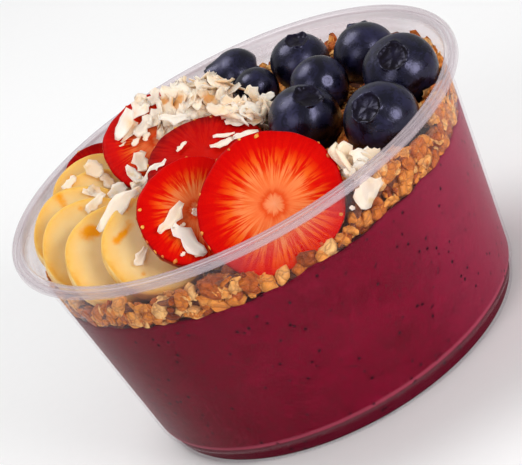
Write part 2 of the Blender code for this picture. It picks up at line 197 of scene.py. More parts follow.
# The core of the large coconut heap: middle of its dome, the dome's half width, half depth and rise, and
# how far from its middle the slice lying on it reaches, how much shorter it looks from above, and how far
# the core stays under its cut face.
HEAP_DOME = (-3.5, 17.5, 59)
HEAP_DOME_HALF = (12.5, 11, 10.4)
SLICE_REACH = 15
SLICE_FORESHORTENED = 0.85
CORE_UNDER_SLICE = 2

# Shares of a slice's outline at which its face has a ring of points.
FACE_RINGS = (0.92, 0.88, 0.82, 0.75, 0.67, 0.59, 0.5, 0.41, 0.32, 0.24, 0.17, 0.11, 0.06)


# ---- materials


def srgb(r, g, b):
    """A colour given as a painter's 0 to 255 values."""
    shares = [c / 255 for c in (r, g, b)]
    return (*[c / 12.92 if c <= 0.04045 else ((c + 0.055) / 1.055) ** 2.4 for c in shares], 1)


def add_node(tree, kind, inputs=(), **settings):
    """Adds a node. Its inputs are values, other nodes' outputs, or painter's colours of three numbers."""
    n = tree.nodes.new(kind)
    for key, value in settings.items():
        setattr(n, key, value)
    for key, value in dict(inputs).items():
        socket = n.inputs[key]
        if isinstance(value, bpy.types.NodeSocket):
            tree.links.new(value, socket)
        elif socket.type == "RGBA" and len(value) == 3:
            socket.default_value = srgb(*value)
        else:
            socket.default_value = value
    return n


class Finish:
    """A material put together node by node, with sizes in millimetres."""

    def __init__(self, name):
        self.mat = bpy.data.materials.new(name)
        self.mat.use_nodes = True
        self.tree = self.mat.node_tree
        self.tree.nodes.clear()
        self.out = self.node("ShaderNodeOutputMaterial")

    def node(self, kind, inputs=(), **settings):
        return add_node(self.tree, kind, inputs, **settings)

    def math(self, op, a, b=0, clamp=False):
        return self.node("ShaderNodeMath", {0: a, 1: b}, operation=op, use_clamp=clamp).outputs[0]

    def times(self, a, b, clamp=False):
        return self.math("MULTIPLY", a, b, clamp)

    def plus(self, a, b, clamp=False):
        return self.math("ADD", a, b, clamp)

    def swing(self, pattern, amount):
        """A 0 to 1 pattern made to go as far below nothing as above it."""
        return self.times(self.math("SUBTRACT", pattern, 0.5), amount)

    def vmath(self, op, a, b=(0, 0, 0), scale=None):
        inputs = {0: a, 1: b} if scale is None else {0: a, "Scale": scale}
        n = self.node("ShaderNodeVectorMath", inputs, operation=op)
        return n.outputs["Value" if op in ("LENGTH", "DISTANCE") else "Vector"]

    def place(self):
        """Position on the object, in millimetres."""
        at = self.node("ShaderNodeTexCoord").outputs["Object"]
        return self.vmath("SCALE", at, scale=1000)

    def attribute(self, name, out="Fac"):
        return self.node("ShaderNodeAttribute", attribute_name=name).outputs[out]

    def split(self, vector):
        return self.node("ShaderNodeSeparateXYZ", {0: vector}).outputs

    def join(self, x, y, z):
        return self.node("ShaderNodeCombineXYZ", {0: x, 1: y, 2: z}).outputs[0]

    def noise(self, vector, size, detail=3, rough=0.55, distort=0):
        """Cloudy pattern from 0 to 1 whose lumps are about that many millimetres."""
        inputs = {"Vector": vector, "Scale": 1 / size, "Detail": detail, "Roughness": rough}
        return self.node("ShaderNodeTexNoise", {**inputs, "Distortion": distort}).outputs["Fac"]

    def wander(self, vector, scale, reach):
        """A smooth shift of every spot, by up to that many millimetres."""
        n = self.node("ShaderNodeTexNoise", {"Vector": vector, "Scale": scale})
        return self.vmath("SCALE", n.outputs["Color"], scale=reach)

    def cells(self, vector, size, feature="F1"):
        inputs = {"Vector": vector, "Scale": 1 / size}
        return self.node("ShaderNodeTexVoronoi", inputs, feature=feature).outputs["Distance"]

    def ramp(self, fac, *stops):
        """Colours along a 0 to 1 factor. A stop is its place and a painter's colour."""
        n = self.node("ShaderNodeValToRGB", {"Fac": fac})
        marks = n.color_ramp.elements
        while len(marks) < len(stops):
            marks.new(0.5)
        for mark, (at, *colour) in zip(marks, stops):
            mark.position = at
            mark.color = srgb(*colour)
        return n.outputs["Color"]

    def fade(self, value, low, high, to_low=0, to_high=1):
        """Goes softly from one value to another as the first input goes from low to high."""
        inputs = {"Value": value, "From Min": low, "From Max": high, "To Min": to_low, "To Max": to_high}
        return self.node("ShaderNodeMapRange", inputs, interpolation_type="SMOOTHSTEP").outputs["Result"]

    def mix(self, fac, a, b):
        return self.node("ShaderNodeMix", {"Factor": fac, 6: a, 7: b}, data_type="RGBA").outputs[2]

    def bump(self, height, depth, strength=1):
        """Relief of that many millimetres."""
        inputs = {"Height": height, "Strength": strength, "Distance": depth * MM}
        return self.node("ShaderNodeBump", inputs).outputs["Normal"]

    def principled(self, colour, rough, relief=None, **more):
        inputs = {"Base Color": colour, "Roughness": rough}
        if relief:
            inputs["Normal"] = relief
        inputs.update((key.replace("_", " "), value) for key, value in more.items())
        return self.node("ShaderNodeBsdfPrincipled", inputs).outputs[0]

    def done(self, shader):
        """Puts a shader on the output, and gives the finished material."""
        self.tree.links.new(shader, self.out.inputs["Surface"])
        return self.mat

    def surface(self, *looks, **more):
        return self.done(self.principled(*looks, **more))


def clear_plastic():
    """Clear tub plastic: a faint milky haze, thicker in the rim and seen edge-on, under a clean gloss, with
    painted light and shade on the rim and a painted highlight band along the foot step.
    """
    f = Finish("clear_plastic")
    at = f.place()
    x, y, z = f.split(at)
    rim = f.fade(z, 57.4, 58.4)
    facing = f.node("ShaderNodeLayerWeight", {"Blend": 0.35}).outputs["Facing"]
    cloud = f.noise(at, 9, detail=4)
    haze = f.plus(f.fade(cloud, 0.3, 0.75, 0.001, 0.004), f.times(f.math("POWER", facing, 3.5), 0.1))
    haze = f.plus(haze, f.times(f.fade(z, 51, 55.5), f.fade(y, -6, 34, 0.02, 0.3)))
    # Painted highlight: the plastic is made milkier in a thin band along the foot step, standing for the
    # light the step catches.
    shoulder = f.times(f.fade(z, 4.5, 4.9), f.fade(z, 5.7, 5.2))
    haze = f.plus(haze, f.times(shoulder, 0.05))
    radius = f.vmath("LENGTH", f.join(x, y, 0))
    lines = f.math("SINE", f.times(radius, tau / RIM_LINE_SPACING))
    band = f.times(f.fade(y, 0, 40, 0.38, 0.2), f.plus(1, f.times(lines, 0.35)))
    haze = f.plus(haze, f.times(rim, band), clamp=True)
    relief = f.bump(f.plus(cloud, f.times(f.times(lines, rim), 1.5)), 0.05, 0.2)
    # Painted light and shade: the rim's body colour goes from darker at the front to lighter at the back.
    rim_painted_light = f.mix(f.fade(y, -10, 40), (196, 180, 185), (224, 213, 218))
    tint = f.mix(rim, (230, 206, 214), rim_painted_light)
    body = f.principled(tint, 0.22, relief, IOR=1.49)
    clear = f.node("ShaderNodeBsdfTransparent", {"Color": (0.965, 0.955, 0.965, 1)}).outputs[0]
    gloss_inputs = {"Color": (1, 1, 1, 1), "Roughness": 0.1, "Normal": relief}
    gloss = f.node("ShaderNodeBsdfGlossy", gloss_inputs).outputs[0]
    milky = f.node("ShaderNodeMixShader", {0: haze, 1: clear, 2: body}).outputs[0]
    slant = f.node("ShaderNodeLayerWeight", {"Blend": 0.5, "Normal": relief}).outputs["Facing"]
    shine = f.plus(0.006, f.times(f.math("POWER", slant, 5), 0.3))
    return f.done(f.node("ShaderNodeMixShader", {0: shine, 1: milky, 2: gloss}).outputs[0])


def acai_pulp():
    """Thick blended acai, dark berry red with paler smears, tiny air pits and black skin specks, with
    painted light and shade: lighter to one side, darker to the other, a painted highlight along the foot
    step and painted shade below it.
    """
    f = Finish("acai_pulp")
    at = f.place()
    x, y, z = f.split(at)
    smear = f.noise(f.join(x, y, f.times(z, 1.8)), 14, detail=5, distort=0.6)
    cloud = f.noise(at, 3.2, detail=4)
    base = f.ramp(smear, (0.25, 84, 0, 19), (0.45, 98, 1, 26), (0.6, 108, 3, 32), (0.8, 120, 10, 40))
    base = f.mix(f.fade(cloud, 0.45, 0.75, 0, 0.4), base, (126, 2, 38))
    grain = f.noise(at, 0.9, detail=3, rough=0.6)
    base = f.mix(f.fade(grain, 0.42, 0.7, 0, 0.5), base, (146, 18, 54))
    base = f.mix(f.fade(f.noise(at, 0.6, detail=2), 0.52, 0.72, 0, 0.5), base, (78, 0, 18))
    # Painted light and shade: the acai is painted paler and pinker towards +X and darker towards -X.
    base = f.mix(f.times(f.fade(x, 10, 52), 0.6), base, (162, 46, 80))
    base = f.mix(f.fade(x, -10, -50, 0, 0.5), base, (90, 2, 22))
    pits = f.fade(f.cells(at, 1.5), 0.1, 0.22, 1, 0)
    base = f.mix(f.times(pits, 0.4), base, (152, 30, 64))
    # Painted highlight: a paler band just above the foot step, standing for the light caught along the step.
    shoulder = f.times(f.fade(z, 4.8, 5.2), f.fade(z, 6.4, 5.7))
    base = f.mix(f.times(shoulder, 0.6), base, (176, 76, 98))
    # Painted shade: the acai below the foot step is painted darker.
    base = f.mix(f.fade(z, 5, 4), base, (90, 2, 28))
    specks = f.fade(f.cells(f.vmath("ADD", at, (3.1, 1.7, 5.2)), 2.3), 0.14, 0.25, 1, 0)
    gate = f.fade(f.noise(at, 4), 0.46, 0.54)
    base = f.mix(f.times(f.times(specks, gate), 0.85), base, (22, 2, 10))
    return f.surface(base, 0.6, f.bump(smear, 0.3, 0.3), Specular_IOR_Level=0.03)


def strawberry_flesh():
    """Cut strawberry: pale streaked core, orange flesh drawn out in rays, red edge and glossy red skin."""
    f = Finish("strawberry_flesh")
    local = f.attribute("slice_place", "Vector")
    share = f.attribute("outline_share")
    skin = f.attribute("skin")
    x, y = f.split(local)[:2]
    ray = f.vmath("NORMALIZE", f.join(x, y, 0))
    seed = f.times(f.attribute("piece_seed"), 7)

    def rays(fineness, change):
        """Places that are drawn out from the slice's middle to its edge."""
        across, up = f.split(f.vmath("SCALE", ray, scale=fineness))[:2]
        return f.join(across, up, f.plus(f.times(share, change), seed))

    broad = f.noise(rays(4, 1.2), 1, detail=2)
    fibre = f.noise(rays(15, 2.2), 1, detail=3, rough=0.6)
    streak = f.times(f.fade(fibre, 0.42, 0.58), f.fade(share, 0.1, 0.3))
    streak = f.math("MAXIMUM", streak, f.fade(share, 0.2, 0.5, 0.5, 0))
    drift = f.swing(broad, f.times(f.attribute("streaky"), 0.14))
    lower = f.times(f.math("MINIMUM", f.split(ray)[1], 0), 0.24)
    t = f.plus(f.times(share, f.plus(1, lower)), drift, clamp=True)
    ray_colour = f.ramp(
        t, (0, 235, 157, 113), (0.09, 233, 143, 93), (0.14, 224, 82, 27), (0.21, 233, 121, 68),
        (0.44, 234, 130, 74), (0.57, 231, 96, 27), (0.7, 222, 52, 5), (0.79, 211, 11, 2), (1, 194, 3, 2),
    )
    between = f.ramp(
        t, (0, 233, 143, 97), (0.09, 230, 121, 71), (0.14, 215, 61, 16), (0.21, 230, 96, 42),
        (0.38, 229, 88, 27), (0.49, 220, 45, 6), (0.6, 211, 11, 3), (0.9, 198, 3, 2), (1, 183, 2, 2),
    )
    red = f.ramp(t, (0, 192, 13, 5), (0.4, 183, 4, 2), (0.75, 170, 1, 2), (1, 116, 0, 3))
    red = f.mix(f.times(streak, 0.25), red, (211, 36, 13))
    face = f.mix(f.attribute("core"), red, f.mix(streak, between, ray_colour))
    cloud = f.noise(local, 3.5, detail=4)
    rind = f.mix(f.fade(cloud, 0.35, 0.7), (131, 0, 5), (177, 4, 5))
    height = f.plus(f.times(fibre, 0.3), f.times(f.cells(local, 0.9), 0.4))
    return f.surface(
        f.mix(skin, face, rind),
        f.mix(skin, (0.45, 0.45, 0.45, 1), (0.3, 0.3, 0.3, 1)),
        f.bump(height, 0.15, 0.45),
        Specular_IOR_Level=0.03,
        Subsurface_Weight=0.1,
        Subsurface_Radius=(1, 0.25, 0.12),
        Subsurface_Scale=0.0015,
    )


def banana_flesh():
    """Cut banana: creamy face, warmer towards the edge, with amber stains."""
    f = Finish("banana_flesh")
    local = f.attribute("slice_place", "Vector")
    cloud = f.noise(local, 5, detail=4)
    fine = f.noise(local, 0.8, detail=3)
    t = f.plus(f.attribute("outline_share"), f.swing(cloud, 0.35), clamp=True)
    face = f.ramp(
        t, (0, 229, 199, 146), (0.3, 234, 207, 158), (0.7, 233, 199, 136),
        (0.92, 236, 188, 102), (1, 230, 168, 70),
    )
    edge = f.mix(f.fade(cloud, 0.35, 0.7), (234, 180, 88), (246, 212, 140))
    colour = f.mix(f.attribute("skin"), face, edge)
    ragged = f.plus(f.attribute("stain"), f.swing(f.noise(local, 1.6, detail=4), 0.9))
    amber = f.math("POWER", f.fade(ragged, 0.2, 1.15), 1.3)
    height = f.plus(f.times(fine, 0.5), f.times(cloud, 0.5))
    return f.surface(
        f.mix(amber, colour, (238, 156, 6)),
        0.42,
        f.bump(height, 0.2, 0.5),
        Specular_IOR_Level=0.15,
        Subsurface_Weight=0.5,
        Subsurface_Radius=(0.9, 0.75, 0.45),
        Subsurface_Scale=0.004,
    )


def blueberry_skin():
    """Near-black blue skin under a rubbed, cloudy bloom, darker inside the crown."""
    f = Finish("blueberry_skin")
    local = f.attribute("berry_place", "Vector")
    crown = f.attribute("crown")
    cloud = f.noise(local, 6, detail=5, rough=0.6, distort=0.5)
    fine = f.noise(local, 0.7, detail=3)
    rubbed = f.fade(f.noise(local, 1.7, detail=4, distort=1.2), 0.5, 0.64)
    bloom = f.times(f.fade(cloud, 0.38, 0.66, 0, 0.95), f.fade(fine, 0.2, 0.7, 0.6, 1))
    bloom = f.times(bloom, f.math("SUBTRACT", 1, f.times(rubbed, 0.7)))
    skin = f.mix(bloom, (1, 1, 5), (31, 30, 59))
    return f.surface(
        f.mix(f.times(crown, 0.7), skin, (22, 16, 19)),
        f.fade(bloom, 0, 1, 0.26, 0.4),
        f.bump(f.plus(f.times(cloud, 0.7), f.times(fine, 0.3)), 0.25, 0.6),
        Specular_IOR_Level=f.times(f.math("SUBTRACT", 1, f.times(crown, 0.75)), 0.6),
        Specular_Tint=(0.62, 0.6, 0.95, 1),
    )


def oat_toasted():
    """Toasted oats: golden to deep brown from piece to piece, pale bran flecks, and painted shade in the
    creases between chunks.
    """
    f = Finish("oat_toasted")
    at = f.place()
    cloud = f.noise(at, 1.6, detail=4)
    fine = f.noise(at, 0.35, detail=3)
    t = f.plus(f.attribute("toast"), f.swing(cloud, 0.5), clamp=True)
    colour = f.ramp(
        t, (0, 112, 42, 14), (0.16, 182, 86, 30), (0.42, 218, 126, 46),
        (0.72, 238, 155, 70), (1, 252, 198, 126),
    )
    colour = f.mix(f.fade(fine, 0.55, 0.8, 0, 0.25), colour, (248, 196, 126))
    # Painted shade: dark lines along the cell edges stand for the shade in the creases between chunks; the
    # same lines also give relief.
    crease_shade = f.cells(f.vmath("ADD", at, f.wander(at, 0.9, 1.1)), 2.6, feature="DISTANCE_TO_EDGE")
    colour = f.mix(f.fade(crease_shade, 0.01, 0.12, 0.45, 0), colour, (120, 54, 26))
    height = f.plus(f.times(cloud, 0.5), f.times(fine, 0.3))
    relief = f.bump(f.plus(height, f.fade(crease_shade, 0, 0.3)), 0.5, 0.9)
    return f.surface(colour, 0.5, relief, Specular_IOR_Level=0.2)


def granola_core():
    """What shows deep between the oats: dark toasted crumb, its dark colour also painted shade for the gaps.
    """
    f = Finish("granola_crumb_and_gap_shade")
    at = f.place()
    cloud = f.noise(at, 2.2, detail=5)
    # Painted shade: the core's dark colour stands both for dark crumb and for the shade deep between the
    # oats.
    colour = f.ramp(cloud, (0.3, 44, 16, 10), (0.5, 112, 54, 26), (0.75, 176, 104, 52))
    height = f.plus(f.times(cloud, 0.5), f.times(f.cells(at, 1.6), -0.5))
    return f.surface(colour, 0.7, f.bump(height, 0.9))


def coconut_flesh():
    """Dried coconut: warm white, slightly see-through at thin edges, fibrous, with amber syrup stains."""
    f = Finish("coconut_flesh")
    at = f.place()
    fibre = f.noise(at, 0.5, detail=4, distort=0.8)
    cloud = f.noise(at, 4, detail=3)
    colour = f.ramp(f.attribute("toast"), (0, 243, 208, 174), (0.45, 252, 227, 200), (1, 255, 241, 222))
    colour = f.mix(f.fade(cloud, 0.58, 0.74, 0, 0.55), colour, (236, 192, 122))
    colour = f.mix(f.times(f.attribute("stain"), 0.5, clamp=True), colour, (236, 168, 80))
    wavy = f.vmath("ADD", at, f.wander(at, 0.8, 1.6))
    for *drop, reach in SYRUP_DROPS:
        near = f.vmath("DISTANCE", wavy, tuple(c + 0.8 for c in drop))
        colour = f.mix(f.fade(near, reach, 0.35 * reach, 0, 0.85), colour, (222, 138, 34))
    return f.surface(
        colour,
        0.5,
        f.bump(fibre, 0.12, 0.6),
        Subsurface_Weight=0.4,
        Subsurface_Radius=(1, 0.7, 0.5),
        Subsurface_Scale=0.0015,
    )


def seed_husk():
    """Strawberry seeds, straw yellow to reddish tan."""
    f = Finish("strawberry_seed")
    fine = f.noise(f.place(), 0.4)
    t = f.plus(f.times(f.attribute("toast"), 0.8), f.times(fine, 0.3), clamp=True)
    colour = f.ramp(t, (0, 190, 60, 14), (0.5, 220, 120, 26), (1, 240, 180, 70))
    return f.surface(colour, 0.35, f.bump(fine, 0.06, 0.5))


def studio_floor():
    """Matt white paper."""
    f = Finish("studio_paper")
    colour = f.mix(f.noise(f.place(), 3), (0.91, 0.91, 0.912, 1), (0.93, 0.93, 0.932, 1))
    return f.surface(colour, 0.9)


# ---- shapes


def new_object(name, data):
    """Puts a mesh, a lamp or a camera into the scene."""
    ob = bpy.data.objects.new(name, data)
    bpy.context.scene.collection.objects.link(ob)
    return ob


def new_mesh(name, verts, faces):
    """A mesh from points in its own unit."""
    mesh = bpy.data.meshes.new(name)
    mesh.from_pydata(verts, [], faces)
    mesh.update()
    return mesh


def add_piece(name, verts, faces, mat, smooth=True):
    """Makes one named piece from points in millimetres."""
    mesh = new_mesh(name, [Vector(v) * MM for v in verts], faces)
    mesh.materials.append(mat)
    if smooth:
        mesh.shade_smooth()
    return new_object(name, mesh)


def settle(ob, node=None):
    """Puts a finished piece on the body, in place of its solid."""
    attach(ob, "root")
    if node:
        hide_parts(node)
    return ob


def set_attribute(ob, name, values, kind="FLOAT"):
    """Stores one value for each point of a mesh."""
    layer = ob.data.attributes.new(name, kind, "POINT")
    flat = np.array(values, dtype=np.float32).ravel()
    layer.data.foreach_set("vector" if kind == "FLOAT_VECTOR" else "value", flat)


def turns(count):
    """Even angles round a full turn."""
    return [tau * k / count for k in range(count)]


def spot(r, a, z):
    """A point at a radius, an angle counted from +X and a height."""
    return (r * cos(a), r * sin(a), z)


def stack_rings(rings, low_pole, high_pole):
    """Joins rings of points, bottom to top and counter-clockwise from above, into a closed skin."""
    count = len(rings[0])
    verts = [low_pole] + [p for ring in rings for p in ring] + [high_pole]
    after = [(k, (k + 1) % count) for k in range(count)]
    faces = [(0, 1 + n, 1 + k) for k, n in after]
    for low in range(1, 1 + (len(rings) - 1) * count, count):
        high = low + count
        faces += [(low + k, low + n, high + n, high + k) for k, n in after]
    top = len(verts) - 1 - count
    faces += [(top + k, top + n, top + count) for k, n in after]
    return verts, faces


def softened(corners, reach=0.45, steps=3):
    """Rounds every corner of an open outline of (radius, z) points, keeping its two ends."""
    out = [corners[0]]
    for before, here, after in zip(corners, corners[1:], corners[2:]):
        b, h, a = Vector(before), Vector(here), Vector(after)
        start = h + (b - h).normalized() * min(reach, 0.4 * (b - h).length)
        end = h + (a - h).normalized() * min(reach, 0.4 * (a - h).length)
        for s in range(steps + 1):
            t = s / steps
            out.append(tuple(start * (1 - t) ** 2 + h * 2 * t * (1 - t) + end * t**2))
    out.append(corners[-1])
    return out


def inner_radius(z):
    """Inner radius of the tub at a height, above its foot."""
    share = (z - WALL_FOOT_Z) / (STEP_Z - WALL_FOOT_Z)
    return WALL_FOOT_RADIUS + (STEP_RADIUS - 0.5 - WALL_FOOT_RADIUS) * share - WALL


def cup_inside():
    """The tub's inner outline from the floor up to the step, as (radius, z)."""
    return [
        (FOOT_RADIUS - 1.6 - FOOT_RING_WIDTH, BASE_RECESS + WALL), (FOOT_RADIUS - FOOT_RING_WIDTH, 0.6),
        (FOOT_RADIUS - 1.3, 0.6), (FOOT_RADIUS - WALL, 1.3), (FOOT_RADIUS - WALL + 0.1, WALL_FOOT_Z - 0.9),
        (inner_radius(WALL_FOOT_Z + 0.6), WALL_FOOT_Z + 0.6), (inner_radius(STEP_Z), STEP_Z + 0.1),
        (STEP_RADIUS - WALL, STEP_Z + 0.8),
    ]


def build_cup(mat):
    """Turns the tub's outline, with its corners softened, round the Z axis."""
    top = CUP_HEIGHT
    outside = [
        (RIM_INNER_RADIUS, top - 0.45), (RIM_INNER_RADIUS + 0.5, top), (RIM_RADIUS - 0.6, top),
        (RIM_RADIUS, top - 0.6), (RIM_RADIUS, top - RIM_SKIRT), (RIM_RADIUS - WALL, top - RIM_SKIRT),
        (RIM_RADIUS - WALL, top - 1.1), (STEP_RADIUS + 0.75, top - 1.3), (STEP_RADIUS, STEP_Z + 0.6),
        (STEP_RADIUS - 0.5, STEP_Z), (WALL_FOOT_RADIUS + 0.05, WALL_FOOT_Z + 0.4),
        (WALL_FOOT_RADIUS - 0.35, WALL_FOOT_Z - 0.3), (FOOT_RADIUS, WALL_FOOT_Z - 1.2),
        (FOOT_RADIUS - 0.2, 0.5), (FOOT_RADIUS - 0.6, 0), (FOOT_RADIUS - 0.6 - FOOT_RING_WIDTH, 0),
        (FOOT_RADIUS - 1.6 - FOOT_RING_WIDTH, BASE_RECESS), (0, BASE_RECESS),
    ]
    inside = [(0, BASE_RECESS + WALL)] + cup_inside() + [(RIM_INNER_RADIUS, top - 0.45)]
    down = softened(outside)[:-1]
    loop = down + softened(inside)[1:-1]
    count = CUP_SEGMENTS
    verts = [spot(r, a, z) for r, z in loop for a in turns(count)]
    after = [(k, (k + 1) % count) for k in range(count)]
    under = len(down) - 1
    faces = []
    for i in range(len(loop)):
        j = (i + 1) % len(loop)
        if i != under:
            faces += [(i * count + k, j * count + k, j * count + n, i * count + n) for k, n in after]
    bottom = len(verts)
    verts += [(0, 0, BASE_RECESS), (0, 0, BASE_RECESS + WALL)]
    below, floor = under * count, len(down) * count
    for k, n in after:
        faces += [(below + k, bottom, below + n), (floor + n, bottom + 1, floor + k)]
    return settle(add_piece("deli_tub", verts, faces, mat), "cup")


def acai_edge_level(a):
    """Height of the acai where it meets the wall, at an angle counted from +X."""
    wave = 0.45 * sin(2 * a + 0.6) + 0.3 * sin(5 * a + 1.1) + 0.22 * sin(11 * a)
    left = max(0, cos(a - radians(215)))
    return ACAI_LEVEL + wave - 1.3 * left**3


def acai_rim_detail(a):
    """The finer unevenness of the same edge, where oats poke into the acai."""
    at = Vector(spot(9, a, 0))
    return 0.9 * noise(at) + 0.5 * noise(at * 3.1)


def build_acai(mat):
    """Acai pressed against the tub's inner wall, dished under the granola."""
    circle = turns(CUP_SEGMENTS)
    start, rows = 9, 26
    rings = []
    for r, z in softened(cup_inside()[:6] + [(inner_radius(start), start)]):
        r += INTO_WALL if r > FOOT_RADIUS - 1.5 else 0
        z = z - INTO_WALL if z < 2 else z
        rings.append([spot(r, a, z) for a in circle])
    for i in range(1, rows + 1):
        heights = [start + (acai_edge_level(a) + acai_rim_detail(a) - start) * i / rows for a in circle]
        rings.append([spot(inner_radius(z) + INTO_WALL, a, z) for a, z in zip(circle, heights)])
    for share in (0.985, 0.96, 0.92, 0.86, 0.77, 0.66, 0.55, 0.4, 0.25, 0.1):
        dish = max(0, (share - 0.55) / 0.45) ** 2
        ring = []
        for a in circle:
            edge = acai_edge_level(a) + acai_rim_detail(a) * max(0, (share - 0.9) / 0.1)
            x, y, _ = spot(share * inner_radius(ACAI_LEVEL), a, 0)
            lump = 0.35 * noise(Vector((x, y, 3)) / 6)
            ring.append((x, y, ACAI_CENTRE_LEVEL + (edge - ACAI_CENTRE_LEVEL) * dish + lump))
        rings.append(ring)
    low = (0, 0, BASE_RECESS + WALL - INTO_WALL)
    verts, faces = stack_rings(rings, low, (0, 0, ACAI_CENTRE_LEVEL))
    return settle(add_piece("acai_fill", verts, faces, mat), "acai")


def direction(turn, lift):
    """A unit vector turned from the front (-Y) towards +X and lifted from level, in degrees."""
    t, e = radians(turn), radians(lift)
    return Vector((cos(e) * sin(t), -cos(e) * cos(t), sin(e)))


def slice_piece(kind, number, place, outline, profile, relief, mat, facts):
    """A leaning slice: rings of (share of the outline, depth) up its side, then rings across its face."""
    centre, turn, lift = place
    circle = turns(112)
    outward = direction(turn, lift)
    across = Vector((cos(radians(turn)), sin(radians(turn)), 0))
    upward = outward.cross(across)
    c = Vector(centre)
    thick = -profile[0][1]
    side = [profile[0]]
    for (s0, d0), (s1, d1) in zip(profile, profile[1:]):
        steps = max(1, int(abs(d1 - d0) / 0.45))
        side += [(s0 + (s1 - s0) * k / steps, d0 + (d1 - d0) * k / steps) for k in range(1, steps + 1)]
    rows = [("back", s, -thick) for s in (0.25, 0.5, 0.68)] + [("side", s, d) for s, d in side]
    rows += [("face", s, 0) for s in FACE_RINGS]
    rings, local, share, skin = [], [(0, 0, -thick)], [0], [0]
    for group, s, d in rows:
        ring = []
        for a in circle:
            u, v, _ = spot(outline(a) * s, a, 0)
            w = d + (relief(u, v, s) if group == "face" else 0.10 * noise(Vector((u, v, d)) / 2.2))
            ring.append(tuple(c + across * u + upward * v + outward * w))
            local.append((u, v, w))
        rings.append(ring)
        share += [s] * len(circle)
        skin += [1 if group == "side" and -0.93 * thick < d < -0.3 else 0] * len(circle)
    local.append((0, 0, 0))
    low, high = tuple(c - outward * thick), tuple(c + outward * relief(0, 0, 0))
    verts, faces = stack_rings(rings, low, high)
    ob = add_piece(f"{kind}_cut_{number}", verts, faces, mat)
    set_attribute(ob, "slice_place", local, "FLOAT_VECTOR")
    set_attribute(ob, "outline_share", share + [0])
    set_attribute(ob, "skin", skin + [0])
    for key, value in facts.items():
        set_attribute(ob, key, [value(*p) if callable(value) else value for p in local])
    return settle(ob, f"{kind}_slice_{number}")


def build_strawberries(mat):
    """The five strawberry slices. The low edge of the front one is pressed flat by the wall."""
    made = []
    for i, (*place, radius, thick, pressed, widened, core, streaky) in enumerate(STRAWBERRY_SLICES):
        seed = 1.3 * i

        def outline(a):
            lobes = 0.018 * sin(2 * a + seed) + 0.014 * sin(5 * a + 2.1 * seed)
            lobes += 0.004 * sin(17 * a + seed)
            low_edge, left_edge = max(0, -sin(a)) ** 4, max(0, -cos(a)) ** 2
            return radius * (1 + lobes) - pressed * low_edge + widened * left_edge

        def relief(u, v, s):
            cavity = -0.9 * exp(-((u / 1.7) ** 2 + ((v + 0.4) / 1.1) ** 2)) * core
            return cavity + 0.35 * (1 - s * s) + 0.12 * noise(Vector((u, v, seed)) / 1.8)

        profile = [(0.80, -thick), (0.90, -thick + 0.35), (0.95, -0.7 * thick), (0.98, -0.45 * thick)]
        profile += [(1, -0.9), (0.997, -0.5), (0.985, -0.2), (0.96, 0)]
        facts = {"core": core, "streaky": streaky, "piece_seed": seed}
        made.append(slice_piece("strawberry", i + 1, place, outline, profile, relief, mat, facts))
    return made


def build_bananas(mat):
    """The fan of banana slices along the left wall."""
    made = []
    thick = BANANA_THICKNESS
    for i, (*place, radius) in enumerate(BANANA_SLICES):
        seed = 0.9 * i
        spots = [row[1:] for row in BANANA_STAINS if row[0] == i + 1]

        def outline(a):
            return radius * (1 + 0.012 * sin(2 * a + seed) + 0.013 * cos(5 * a + 1.7 * seed))

        def relief(u, v, s):
            return 0.25 * (1 - s * s) + 0.12 * noise(Vector((u, v, seed)) / 2.5)

        def stain(u, v, w):
            return sum(exp(-((u - su) ** 2 + (v - sv) ** 2) / size**2) for su, sv, size in spots)

        profile = [(0.95, -thick), (0.985, -thick + 0.35), (0.995, -thick + 1), (1, -0.8)]
        profile += [(0.995, -0.35), (0.975, -0.1), (0.955, 0)]
        facts = {"stain": stain, "piece_seed": seed}
        made.append(slice_piece("banana", i + 1, place, outline, profile, relief, mat, facts))
    return made


def drawn_out(reach, peak):
    """How far a berry's shoulder rises towards a drawn-out crown, as a share of its half height."""
    t = min(1, max(0, (0.75 - reach) / 0.45))
    return peak * t * t * (3 - 2 * t)


